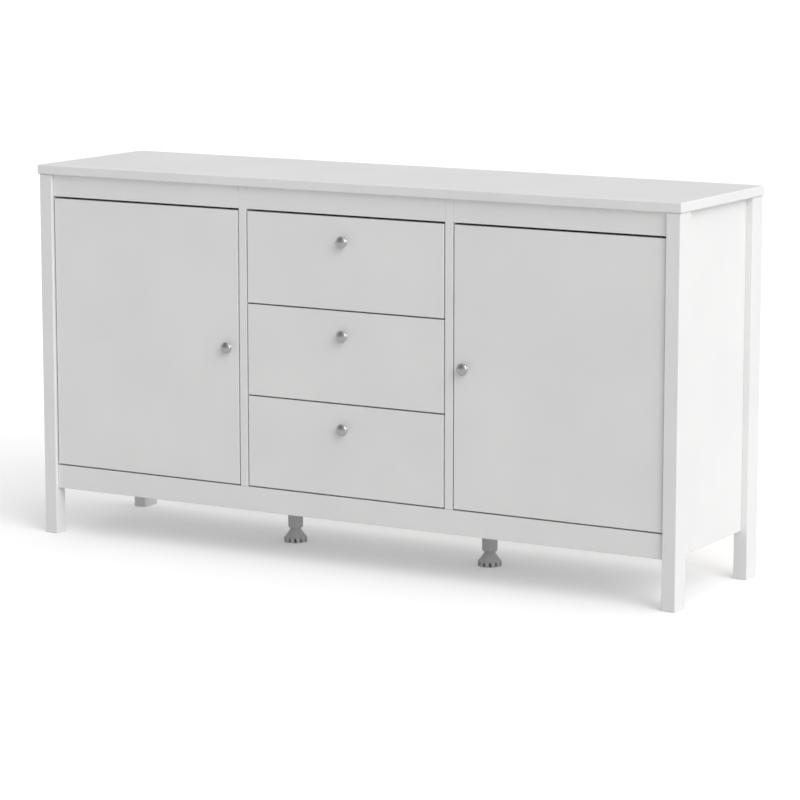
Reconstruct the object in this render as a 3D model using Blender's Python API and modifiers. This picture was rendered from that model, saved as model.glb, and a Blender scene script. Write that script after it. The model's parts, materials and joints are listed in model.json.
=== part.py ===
"""Sideboard buffet: a post-framed carcass with two inset doors and three inset drawers.

Frame: +X to the right, +Y to the back, +Z up, metres. The origin lies on the floor under the
centre of the bounding box. Inside the script, depths are measured back from the front plane
of the posts with y_at(depth).
"""
import math

import bmesh
import bpy
from mathutils import Matrix, Vector

# Overall sizes
HEIGHT = 0.797
TOP_WIDTH = 1.512
TOP_DEPTH = 0.384
TOP_THICKNESS = 0.020
SIDE_OVERHANG = 0.0035
FRONT_OVERHANG = 0.003

# Boards
BOARD = 0.016
PARTITION = 0.018
THIN_BOARD = 0.003
BOARD_EDGE = 0.0010
TOP_EDGE = 0.0025

# Posts
POST_WIDTH = 0.030
POST_DEPTH = 0.047
POST_BLOCK = 0.030
POST_EDGE = 0.0015
PANEL_SETBACK = 0.014
BACK_GROOVE_DEPTH = 0.006
BACK_SETBACK = 0.009

# Front layout
FRONT_SETBACK = 0.007
RAIL_BOTTOM = 0.100
BOTTOM_RAIL = 0.050
PARTITION_X = 0.244
REVEAL = 0.003
TOP_REVEAL = 0.0045
DRAWERS = 3
DRAWER_PITCH = 0.192

# Knobs
KNOB_RADIUS = 0.0125
KNOB_REACH = 0.017
KNOB_DROP = 0.050
DOOR_KNOB_X = 0.280

# Drawer boxes and runners
BOX_CLEARANCE = 0.0055
BOX_SIDE = 0.012
BOX_LENGTH = 0.320
BOX_HEIGHT = 0.130
BOX_LIFT = 0.018
BOTTOM_LIFT = 0.010
GROOVE = 0.0036
GROOVE_DEPTH = 0.005
RUNNER_HEIGHT = 0.009
RUNNER_LENGTH = 0.310
RUNNER_SLOT_DEPTH = 0.0070
RUNNER_PLAY = 0.0006
RUNNER_LIFT = 0.065

# Shelves
SHELF_DEPTH = 0.300
SHELF_FRONT = 0.055
SHELF_LEVEL = 0.440
SHELF_SIDE_GAP = 0.0015
PIN_RADIUS = 0.0025
PIN_SHANK = 0.008
PIN_REACH = 0.009
PIN_HEAD_RADIUS = 0.0042
PIN_HOLE_RADIUS = 0.0029
PIN_HOLE_DEPTH = 0.0090
PIN_INSET = 0.037
PIN_HOLE_PITCH = 0.064

# Hinges, measured from the pivot, which lies inside the door's thickness
PIVOT_FROM_EDGE = 0.011
HINGE_FROM_END = 0.085
CUP_RADIUS = 0.0175
CUP_WALL = 0.0010
CUP_DEPTH = 0.0117
CUP_FROM_EDGE = 0.0225
CUP_FLANGE = 0.0012
ARM_WIDTH = 0.012
ARM_SHEET = 0.0024
ARM_CRANK = 0.013
PLATE_FROM_FRONT = 0.073

# Support feet
FOOT_X = 0.2365
FOOT_DEPTH = 0.1945
SLEEVE_RADIUS = 0.0160
SLEEVE_FLANGE = 0.026
SLEEVE_BOTTOM = 0.030
SCREW_RADIUS = 0.0118
SCREW_NECK = 0.0275
SCREW_PLAY = 0.0005
SCREW_TOP = 0.100
FOOT_RADIUS = 0.025
FOOT_RIM = 0.0085
FOOT_SOLE = 0.0022
FOOT_NOTCHES = 12
NOTCH_RADIUS = 0.0026

# Clearance between pieces that touch
TOUCH = 0.0003

# Worked out from the sizes above
TOP_UNDERSIDE = HEIGHT - TOP_THICKNESS
POSTS_WIDTH = TOP_WIDTH - 2 * SIDE_OVERHANG
TOP_REAR = TOP_DEPTH - FRONT_OVERHANG
POSTS_REAR = TOP_REAR - 0.001
POST_OUT = POSTS_WIDTH / 2
POST_IN = POST_OUT - POST_WIDTH
PANEL_OUT = POST_OUT - PANEL_SETBACK
REAR_POST_FRONT = POSTS_REAR - POST_DEPTH
FRONT_INSIDE = FRONT_SETBACK + BOARD
RAIL_TOP = RAIL_BOTTOM + BOTTOM_RAIL
BACK_FRONT = POSTS_REAR - BACK_SETBACK - THIN_BOARD
PARTITION_OUT = PARTITION_X + PARTITION / 2
PARTITION_IN = PARTITION_X - PARTITION / 2
FRONTS_BOTTOM = RAIL_TOP + REVEAL
FRONTS_TOP = RAIL_TOP + DRAWERS * DRAWER_PITCH
DRAWER_FRONT_HEIGHT = DRAWER_PITCH - REVEAL
TOP_RAIL_BOTTOM = FRONTS_TOP + TOP_REVEAL
DOOR_OUTER = POST_IN - REVEAL
DOOR_INNER = PARTITION_OUT + REVEAL
PIVOT_X = DOOR_OUTER - PIVOT_FROM_EDGE
PIVOT_DEPTH = FRONT_SETBACK + BOARD / 2
FRONTMOST = FRONT_SETBACK - KNOB_REACH
MIDDLE_DEPTH = (FRONTMOST + TOP_REAR) / 2

SIDES = (("left", -1), ("right", 1))

WHITE_FOIL = ((0.80, 0.80, 0.79), 0.45, 0.0)
WHITE_HARDBOARD = ((0.78, 0.78, 0.77), 0.55, 0.0)
DARK_METAL = ((0.36, 0.36, 0.37), 0.33, 1.0)
STEEL = ((0.62, 0.62, 0.63), 0.30, 1.0)
GREY_PLASTIC = ((0.46, 0.46, 0.46), 0.50, 0.0)
WHITE_PLASTIC = ((0.75, 0.75, 0.75), 0.45, 0.0)


def y_at(depth):
    """World Y of a depth measured back from the posts' front plane."""
    return depth - MIDDLE_DEPTH


def clear_scene():
    for obj in list(bpy.data.objects):
        bpy.data.objects.remove(obj, do_unlink=True)


def new_collection(name):
    collection = bpy.data.collections.new(name)
    bpy.context.scene.collection.children.link(collection)
    return collection


def paint(obj, finish):
    colour, roughness, metallic = finish
    material = bpy.data.materials.new(obj.name + "_finish")
    material.use_nodes = True
    shader = material.node_tree.nodes["Principled BSDF"]
    shader.inputs["Base Color"].default_value = (*colour, 1.0)
    shader.inputs["Roughness"].default_value = roughness
    shader.inputs["Metallic"].default_value = metallic
    obj.data.materials.append(material)


def add_object(name, mesh, location, finish):
    obj = bpy.data.objects.new(name, mesh)
    obj.location = location
    PARTS.objects.link(obj)
    paint(obj, finish)
    return obj


def add_cutter(name, mesh, location, piece):
    cutter = bpy.data.objects.new(name, mesh)
    cutter.location = location
    cutter.hide_render = True
    cutter.display_type = "WIRE"
    CUTTERS.objects.link(cutter)
    boolean = piece.modifiers.new(name, "BOOLEAN")
    boolean.operation = "DIFFERENCE"
    boolean.object = cutter
    return cutter


def box_mesh(name, size):
    shape = bmesh.new()
    bmesh.ops.create_cube(shape, size=1.0)
    bmesh.ops.scale(shape, vec=size, verts=shape.verts)
    mesh = bpy.data.meshes.new(name)
    shape.to_mesh(mesh)
    shape.free()
    return mesh


def span(low, high):
    """Size and centre of the box between two corners given as (x, depth, z)."""
    size = Vector((abs(high[0] - low[0]), high[1] - low[1], high[2] - low[2]))
    centre = Vector(((low[0] + high[0]) / 2, y_at((low[1] + high[1]) / 2), (low[2] + high[2]) / 2))
    return size, centre


def board(name, low, high, finish=WHITE_FOIL, edge=BOARD_EDGE, segments=2):
    size, centre = span(low, high)
    obj = add_object(name, box_mesh(name, size), centre, finish)
    if edge:
        bevel = obj.modifiers.new("edge", "BEVEL")
        bevel.width = edge
        bevel.segments = segments
        bevel.limit_method = "ANGLE"
    return obj


def cut_box(piece, name, low, high):
    size, centre = span(low, high)
    return add_cutter(piece.name + "_" + name, box_mesh(name, size), centre, piece)


def cylinders_mesh(name, radius, length, centres, turn=None, sides=12):
    """Equal cylinders along Z, or along the axis that turn gives, at each of the centres."""
    shape = bmesh.new()
    for centre in centres:
        matrix = Matrix.Translation(centre)
        if turn is not None:
            matrix = matrix @ turn
        bmesh.ops.create_cone(
            shape, cap_ends=True, segments=sides, radius1=radius, radius2=radius, depth=length, matrix=matrix
        )
    mesh = bpy.data.meshes.new(name)
    shape.to_mesh(mesh)
    shape.free()
    return mesh


def turned(name, profile, location, finish, steps, turn=None):
    """A solid of revolution: the profile holds (radius, height) pairs from top axis to bottom axis."""
    mesh = bpy.data.meshes.new(name)
    points = [(radius, 0.0, height) for radius, height in profile]
    links = [(i, i + 1) for i in range(len(points) - 1)]
    mesh.from_pydata(points, links, [])
    obj = add_object(name, mesh, location, finish)
    if turn is not None:
        obj.rotation_euler = turn
    screw = obj.modifiers.new("turn", "SCREW")
    screw.axis = "Z"
    screw.angle = math.tau
    screw.steps = steps
    screw.render_steps = steps
    screw.use_merge_vertices = True
    screw.merge_threshold = 0.00001
    screw.use_smooth_shade = True
    return obj


def pivot(name, location):
    empty = bpy.data.objects.new(name, None)
    empty.location = location
    empty.empty_display_size = 0.05
    PARTS.objects.link(empty)
    return empty


def hang(parent, children):
    for child in children:
        child.parent = parent
        child.matrix_parent_inverse = Matrix.Translation(-Vector(parent.location))


def arc(centre, radius, start, end, steps):
    """Points (radius, height) along an arc, angles in degrees."""
    points = []
    for i in range(steps + 1):
        angle = math.radians(start + (end - start) * i / steps)
        points.append((centre[0] + radius * math.cos(angle), centre[1] + radius * math.sin(angle)))
    return points


# ---------------------------------------------------------------- carcass


def make_top():
    half = TOP_WIDTH / 2
    low = (-half, -FRONT_OVERHANG, TOP_UNDERSIDE)
    board("top_panel", low, (half, TOP_REAR, HEIGHT), edge=TOP_EDGE, segments=3)


def make_posts():
    top = TOP_UNDERSIDE - TOUCH
    for side, sign in SIDES:
        front = board(
            side + "_front_post",
            (sign * POST_IN, 0.0, 0.0),
            (sign * POST_OUT, POST_DEPTH, top),
            edge=POST_EDGE,
        )
        rebate_x = PANEL_OUT + TOUCH
        cut_box(
            front,
            "rebate",
            (sign * (POST_IN - 0.01), POST_BLOCK, -0.01),
            (sign * rebate_x, POST_DEPTH + 0.01, HEIGHT),
        )
        rear = board(
            side + "_rear_post",
            (sign * POST_IN, REAR_POST_FRONT, 0.0),
            (sign * POST_OUT, POSTS_REAR, top),
            edge=POST_EDGE,
        )
        cut_box(
            rear,
            "groove",
            (sign * (POST_IN - 0.01), BACK_FRONT - TOUCH, RAIL_TOP - BOARD - TOUCH),
            (sign * (POST_IN + BACK_GROOVE_DEPTH), BACK_FRONT + THIN_BOARD + TOUCH, HEIGHT),
        )


def pin_depths():
    return (SHELF_FRONT + PIN_INSET, SHELF_FRONT + SHELF_DEPTH - PIN_INSET)


def pin_levels():
    at_shelf = SHELF_LEVEL - TOUCH - PIN_HEAD_RADIUS
    return (at_shelf - PIN_HOLE_PITCH, at_shelf, at_shelf + PIN_HOLE_PITCH)


def drill_pin_holes(piece, face_x, into):
    """Rows of blind holes for shelf pins; into is the sign of X that points into the board."""
    centres = []
    for depth in pin_depths():
        for level in pin_levels():
            centres.append(Vector((face_x + into * (PIN_HOLE_DEPTH - 0.005) / 2, y_at(depth), level)))
    across = Matrix.Rotation(math.pi / 2, 4, "Y")
    mesh = cylinders_mesh(piece.name + "_holes", PIN_HOLE_RADIUS, PIN_HOLE_DEPTH + 0.005, centres, across, 10)
    add_cutter(piece.name + "_pin_holes", mesh, (0, 0, 0), piece)


def make_side_panels():
    for side, sign in SIDES:
        panel = board(
            side + "_side_panel",
            (sign * POST_IN, POST_BLOCK + TOUCH, RAIL_BOTTOM),
            (sign * PANEL_OUT, REAR_POST_FRONT - TOUCH, TOP_UNDERSIDE - TOUCH),
            edge=0.0008,
            segments=1,
        )
        drill_pin_holes(panel, sign * POST_IN, sign)


def make_partitions():
    for side, sign in SIDES:
        partition = board(
            side + "_partition",
            (sign * PARTITION_IN, FRONT_SETBACK, RAIL_TOP + TOUCH),
            (sign * PARTITION_OUT, BACK_FRONT - TOUCH, TOP_UNDERSIDE - TOUCH),
        )
        drill_pin_holes(partition, sign * PARTITION_OUT, -sign)


def make_rails():
    end = POST_IN - TOUCH
    board("bottom_rail", (-end, FRONT_SETBACK, RAIL_BOTTOM), (end, FRONT_INSIDE, RAIL_TOP))
    low = TOP_RAIL_BOTTOM
    high = TOP_UNDERSIDE - TOUCH
    outer = PARTITION_OUT + TOUCH
    board("left_top_rail", (-end, FRONT_SETBACK, low), (-outer, FRONT_INSIDE, high))
    board("right_top_rail", (outer, FRONT_SETBACK, low), (end, FRONT_INSIDE, high))
    middle = PARTITION_IN - TOUCH
    board("middle_top_rail", (-middle, FRONT_SETBACK, low), (middle, FRONT_INSIDE, high))


def make_bottom_and_back():
    end = POST_IN - TOUCH
    board(
        "bottom_panel",
        (-end, FRONT_INSIDE + TOUCH, RAIL_TOP - BOARD),
        (end, BACK_FRONT - TOUCH, RAIL_TOP),
        edge=0.0006,
        segments=1,
    )
    back_end = POST_IN + BACK_GROOVE_DEPTH - TOUCH
    board(
        "back_panel",
        (-back_end, BACK_FRONT, RAIL_TOP - BOARD),
        (back_end, BACK_FRONT + THIN_BOARD, TOP_UNDERSIDE - TOUCH),
        finish=WHITE_HARDBOARD,
        edge=0,
    )


# ---------------------------------------------------------------- shelves


def make_shelves():
    for side, sign in SIDES:
        inner = PARTITION_OUT + SHELF_SIDE_GAP
        outer = POST_IN - SHELF_SIDE_GAP
        board(
            side + "_shelf",
            (sign * inner, SHELF_FRONT, SHELF_LEVEL),
            (sign * outer, SHELF_FRONT + SHELF_DEPTH, SHELF_LEVEL + BOARD),
        )
        make_shelf_pins(side, sign)


def make_shelf_pins(side, sign):
    """A pin's shank sits in its hole and its thicker head carries the shelf."""
    shank = PIN_SHANK
    head = PIN_HEAD_RADIUS
    profile = [(0.0, PIN_REACH)]
    profile += [(head - 0.0006, PIN_REACH), (head, PIN_REACH - 0.0006), (head, TOUCH)]
    profile += [(PIN_RADIUS, TOUCH), (PIN_RADIUS, -shank), (0.0, -shank)]
    level = pin_levels()[1]
    for wall, face_x, towards in (("inner", PARTITION_OUT, 1), ("outer", POST_IN, -1)):
        for place, depth in zip(("front", "rear"), pin_depths()):
            turn = (0.0, sign * towards * math.pi / 2, 0.0)
            location = (sign * face_x, y_at(depth), level)
            turned(side + "_shelf_pin_" + wall + "_" + place, profile, location, WHITE_PLASTIC, 10, turn)


# ---------------------------------------------------------------- knobs


def knob_profile():
    """A short neck and a thick domed head; height 0 is the face that it is screwed to."""
    dome = arc((0.0, KNOB_REACH - 0.020), 0.020, 90, 60, 3)
    rim = arc((KNOB_RADIUS - 0.0030, KNOB_REACH - 0.0056), 0.0030, 40, -75, 3)
    neck = arc((0.0094, 0.0032), 0.0026, 150, 220, 2)
    return dome + rim + neck + [(0.0078, TOUCH), (0.0, TOUCH)]


def make_knob(name, x, z):
    return turned(name, knob_profile(), (x, y_at(FRONT_SETBACK), z), DARK_METAL, 24, (math.pi / 2, 0.0, 0.0))


# ---------------------------------------------------------------- doors and hinges


def hinge_levels():
    return (("lower", FRONTS_BOTTOM + HINGE_FROM_END), ("upper", FRONTS_TOP - HINGE_FROM_END))


def cup_place(sign, level):
    return Vector((sign * (DOOR_OUTER - CUP_FROM_EDGE), y_at(FRONT_INSIDE), level))


def make_doors():
    for side, sign in SIDES:
        middle = (FRONTS_BOTTOM + FRONTS_TOP) / 2
        axis = pivot(side + "_door_axis", (sign * PIVOT_X, y_at(PIVOT_DEPTH), middle))
        door = board(
            side + "_door",
            (sign * DOOR_INNER, FRONT_SETBACK, FRONTS_BOTTOM),
            (sign * DOOR_OUTER, FRONT_INSIDE, FRONTS_TOP),
        )
        bore_door(door, sign)
        knob = make_knob(side + "_door_knob", sign * DOOR_KNOB_X, middle)
        moving = [door, knob]
        for place, level in hinge_levels():
            moving.append(make_hinge_cup(side + "_" + place + "_hinge_cup", sign, level))
            make_hinge_arm(side + "_" + place + "_hinge_arm", sign, level)
        hang(axis, moving)


def bore_door(door, sign):
    """Two blind borings in the back of the door take the hinge cups."""
    depth = CUP_DEPTH + TOUCH
    centres = [cup_place(sign, level) + Vector((0, 0.005 - depth / 2, 0)) for _, level in hinge_levels()]
    along = Matrix.Rotation(math.pi / 2, 4, "X")
    mesh = cylinders_mesh(door.name + "_borings", CUP_RADIUS + TOUCH, depth + 0.010, centres, along, 24)
    add_cutter(door.name + "_cup_borings", mesh, (0, 0, 0), door)


def make_hinge_cup(name, sign, level):
    """A drawn cup, open to the back, with its flange flat on the door."""
    lip = TOUCH + CUP_FLANGE
    inner = CUP_RADIUS - CUP_WALL
    flange = CUP_RADIUS + 0.0035
    profile = [(0.0, CUP_WALL - CUP_DEPTH), (inner - 0.002, CUP_WALL - CUP_DEPTH), (inner, 0.003 - CUP_DEPTH)]
    profile += [(inner, lip), (flange, lip), (flange, TOUCH), (CUP_RADIUS, TOUCH)]
    profile += [(CUP_RADIUS, -CUP_DEPTH), (0.0, -CUP_DEPTH)]
    return turned(name, profile, cup_place(sign, level), STEEL, 24, (-math.pi / 2, 0.0, 0.0))


def strip_mesh(name, path, width):
    """An open ribbon of the given width along Z that follows (x, y) points."""
    points = []
    for x, y in path:
        points.append((x, y, -width / 2))
        points.append((x, y, width / 2))
    faces = [(2 * i, 2 * i + 2, 2 * i + 3, 2 * i + 1) for i in range(len(path) - 1)]
    mesh = bpy.data.meshes.new(name)
    mesh.from_pydata(points, [], faces)
    return mesh


def make_hinge_arm(name, sign, level):
    """A cranked arm from the pivot in the cup back to its plate on the side panel.

    It leaves the cup sideways and turns back, so that the open door's edge passes in its crook.
    """
    wall = POST_IN - PIVOT_X
    stem = wall - 0.0048
    rear = PLATE_FROM_FRONT - PIVOT_DEPTH
    path = [(0.0015, 0.0)]
    path += [(-ARM_CRANK + 0.002, 0.0), (-ARM_CRANK, 0.002)]
    path += [(-ARM_CRANK, 0.021), (-ARM_CRANK + 0.003, 0.0245)]
    path += [(stem - 0.004, 0.0300), (stem, 0.0340), (stem, rear + 0.012)]
    path = [(sign * x, y) for x, y in path]
    location = (sign * PIVOT_X, y_at(PIVOT_DEPTH), level)
    arm = add_object(name, strip_mesh(name, path, ARM_WIDTH), location, STEEL)
    sheet = arm.modifiers.new("sheet", "SOLIDIFY")
    sheet.thickness = ARM_SHEET
    sheet.offset = 0.0
    sheet.use_even_offset = True
    join_plate(arm, sign, stem, wall, rear)
    return arm


def join_plate(arm, sign, stem, wall, rear):
    """The mounting plate: a block under the arm and a thin wing that is screwed to the panel."""
    block_low = stem
    block_high = wall - TOUCH
    block = box_mesh("plate_block", Vector((block_high - block_low, 0.030, ARM_WIDTH + 0.004)))
    wing = box_mesh("plate_wing", Vector((0.0018, 0.018, 0.048)))
    middle = (block_low + block_high) / 2
    pieces = (
        (arm.name + "_block", block, (sign * middle, rear, 0.0)),
        (arm.name + "_wing", wing, (sign * (wall - TOUCH - 0.0009), rear + 0.001, 0.0)),
    )
    for piece_name, mesh, offset in pieces:
        tool = add_cutter(piece_name, mesh, Vector(arm.location) + Vector(offset), arm)
        arm.modifiers[tool.name].operation = "UNION"


# ---------------------------------------------------------------- drawers


def make_drawers():
    names = ("bottom", "middle", "top")
    for row, place in enumerate(names):
        low = FRONTS_BOTTOM + row * DRAWER_PITCH
        make_drawer(place, low)
        make_runners(place, low)


def make_drawer(place, low):
    half = PARTITION_IN - REVEAL
    high = low + DRAWER_FRONT_HEIGHT
    axis = pivot(place + "_drawer_slide", (0.0, y_at(FRONT_INSIDE), (low + high) / 2))
    front = board(place + "_drawer_front", (-half, FRONT_SETBACK, low), (half, FRONT_INSIDE, high))
    box_low = low + BOX_LIFT
    groove_low = box_low + BOTTOM_LIFT
    box_half = PARTITION_IN - BOX_CLEARANCE
    inner = box_half - BOX_SIDE
    cut_box(
        front,
        "bottom_groove",
        (-inner - GROOVE_DEPTH, FRONT_INSIDE - GROOVE_DEPTH, groove_low),
        (inner + GROOVE_DEPTH, FRONT_INSIDE + 0.01, groove_low + GROOVE),
    )
    box = make_drawer_box(place, box_low, groove_low, box_half, inner)
    slack = (GROOVE - THIN_BOARD) / 2
    bottom = board(
        place + "_drawer_bottom",
        (-inner - GROOVE_DEPTH + TOUCH, FRONT_INSIDE - GROOVE_DEPTH + TOUCH, groove_low + slack),
        (
            inner + GROOVE_DEPTH - TOUCH,
            FRONT_INSIDE + BOX_LENGTH - BOX_SIDE + GROOVE_DEPTH - TOUCH,
            groove_low + slack + THIN_BOARD,
        ),
        finish=WHITE_HARDBOARD,
        edge=0,
    )
    knob = make_knob(place + "_drawer_knob", 0.0, high - KNOB_DROP)
    hang(axis, [front, box, bottom, knob])


def make_drawer_box(place, box_low, groove_low, box_half, inner):
    """Two sides and a back folded from one strip, grooved inside for the bottom and outside to run."""
    start = FRONT_INSIDE + TOUCH
    end = FRONT_INSIDE + BOX_LENGTH
    box = board(
        place + "_drawer_box",
        (-box_half, start, box_low),
        (box_half, end, box_low + BOX_HEIGHT),
        edge=0.0008,
        segments=1,
    )
    cut_box(
        box,
        "inside",
        (-inner, start - 0.01, box_low - 0.01),
        (inner, end - BOX_SIDE, box_low + BOX_HEIGHT + 0.01),
    )
    cut_box(
        box,
        "bottom_groove",
        (-inner - GROOVE_DEPTH, start - 0.01, groove_low),
        (inner + GROOVE_DEPTH, end - BOX_SIDE + GROOVE_DEPTH, groove_low + GROOVE),
    )
    slot_low = box_low + RUNNER_LIFT - RUNNER_PLAY
    slot_high = box_low + RUNNER_LIFT + RUNNER_HEIGHT + RUNNER_PLAY
    for side, sign in SIDES:
        cut_box(
            box,
            side + "_runner_slot",
            (sign * (box_half - RUNNER_SLOT_DEPTH), start + 0.008, slot_low),
            (sign * (box_half + 0.01), end + 0.01, slot_high),
        )
    return box


def make_runners(place, low):
    z = low + BOX_LIFT + RUNNER_LIFT
    tip = PARTITION_IN - BOX_CLEARANCE - RUNNER_SLOT_DEPTH + 2 * RUNNER_PLAY
    for side, sign in SIDES:
        board(
            side + "_" + place + "_runner",
            (sign * tip, FRONT_INSIDE + 0.010, z),
            (sign * (PARTITION_IN - TOUCH), FRONT_INSIDE + 0.010 + RUNNER_LENGTH, z + RUNNER_HEIGHT),
            finish=WHITE_PLASTIC,
            edge=0.0008,
            segments=1,
        )


# ---------------------------------------------------------------- support feet


def make_feet():
    for side, sign in SIDES:
        location = (sign * FOOT_X, y_at(FOOT_DEPTH), 0.0)
        turned(side + "_foot_sleeve", sleeve_profile(), location, GREY_PLASTIC, 24)
        foot = turned(side + "_screw_foot", screw_foot_profile(), location, GREY_PLASTIC, 24)
        notch_foot(foot, location)


def sleeve_profile():
    top = RAIL_TOP - BOARD - TOUCH
    bore = SCREW_RADIUS + SCREW_PLAY
    profile = [(0.0, top), (SLEEVE_FLANGE, top), (SLEEVE_FLANGE, top - 0.004), (SLEEVE_RADIUS, top - 0.006)]
    profile += [(SLEEVE_RADIUS, SLEEVE_BOTTOM + 0.004), (SLEEVE_RADIUS - 0.0018, SLEEVE_BOTTOM)]
    profile += [(bore, SLEEVE_BOTTOM), (bore, top - 0.006), (0.0, top - 0.006)]
    return profile


def screw_foot_profile():
    """A round stem that widens to a bell-shaped base with a short upright rim."""
    profile = [(0.0, SCREW_TOP), (SCREW_RADIUS, SCREW_TOP), (SCREW_RADIUS, SCREW_NECK)]
    profile += [(0.0150, 0.0240), (0.0188, 0.0190), (0.0222, 0.0140), (0.0243, 0.0105)]
    profile += [(FOOT_RADIUS, FOOT_RIM), (FOOT_RADIUS, 0.0), (0.0, 0.0)]
    return profile


def notch_foot(foot, location):
    """Finger notches around the rim, above the sole."""
    centres = []
    for i in range(FOOT_NOTCHES):
        angle = math.tau * i / FOOT_NOTCHES
        centres.append(Vector((FOOT_RADIUS * math.cos(angle), FOOT_RADIUS * math.sin(angle), 0.0)))
    length = 0.008
    mesh = cylinders_mesh(foot.name + "_notches", NOTCH_RADIUS, length, centres, None, 8)
    place = Vector(location) + Vector((0.0, 0.0, FOOT_SOLE + length / 2))
    add_cutter(foot.name + "_rim_notches", mesh, place, foot)


clear_scene()
PARTS = new_collection("sideboard_buffet")
CUTTERS = new_collection("cutters")
make_top()
make_posts()
make_side_panels()
make_partitions()
make_rails()
make_bottom_and_back()
make_shelves()
make_doors()
make_drawers()
make_feet()
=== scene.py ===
"""Looks of the sideboard buffet: materials, fine fittings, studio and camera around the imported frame."""
import json
import math

import bmesh
import bpy
from mathutils import Matrix, Vector


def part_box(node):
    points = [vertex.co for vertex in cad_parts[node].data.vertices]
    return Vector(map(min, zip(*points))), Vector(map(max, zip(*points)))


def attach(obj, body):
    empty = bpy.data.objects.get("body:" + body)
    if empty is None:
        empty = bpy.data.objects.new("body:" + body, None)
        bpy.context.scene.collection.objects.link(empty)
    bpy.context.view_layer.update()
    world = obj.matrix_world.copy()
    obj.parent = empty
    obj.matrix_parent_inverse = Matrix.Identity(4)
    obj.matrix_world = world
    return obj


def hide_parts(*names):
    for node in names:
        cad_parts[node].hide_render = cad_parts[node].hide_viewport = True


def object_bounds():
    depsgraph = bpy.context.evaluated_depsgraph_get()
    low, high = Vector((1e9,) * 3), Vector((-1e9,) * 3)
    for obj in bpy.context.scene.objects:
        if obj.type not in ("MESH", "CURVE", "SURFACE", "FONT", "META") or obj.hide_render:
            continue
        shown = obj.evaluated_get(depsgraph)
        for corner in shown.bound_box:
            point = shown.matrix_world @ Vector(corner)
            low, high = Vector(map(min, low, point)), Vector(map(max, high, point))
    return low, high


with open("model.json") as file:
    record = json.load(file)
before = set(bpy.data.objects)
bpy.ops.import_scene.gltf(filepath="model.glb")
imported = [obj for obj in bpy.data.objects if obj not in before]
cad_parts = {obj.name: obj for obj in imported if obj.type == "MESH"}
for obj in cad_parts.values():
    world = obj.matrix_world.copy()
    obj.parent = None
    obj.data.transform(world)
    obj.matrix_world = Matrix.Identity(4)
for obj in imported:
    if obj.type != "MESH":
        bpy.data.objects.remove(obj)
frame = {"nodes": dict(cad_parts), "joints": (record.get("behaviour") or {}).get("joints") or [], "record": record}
cad_low, cad_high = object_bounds()

# ---------------------------------------------------------------- places read from the frame

SIDES = (("left", -1), ("right", 1))
LEVELS = ("lower", "upper")
DRAWERS = ("bottom", "middle", "top")
FRONT_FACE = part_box("left_door")[0].y
FRONT_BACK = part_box("left_door")[1].y
FLOOR = cad_low.z
TOUCH = 0.0003


def middle_of(node):
    """The centre of a CAD node's box."""
    low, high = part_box(node)
    return (low + high) / 2


def joint_place(name):
    """A point on a hinge's axis, from the record."""
    for joint in frame["joints"]:
        if joint["name"] == name:
            return Vector(joint["pos_m"])
    raise ValueError(name)


# ---------------------------------------------------------------- materials


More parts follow.
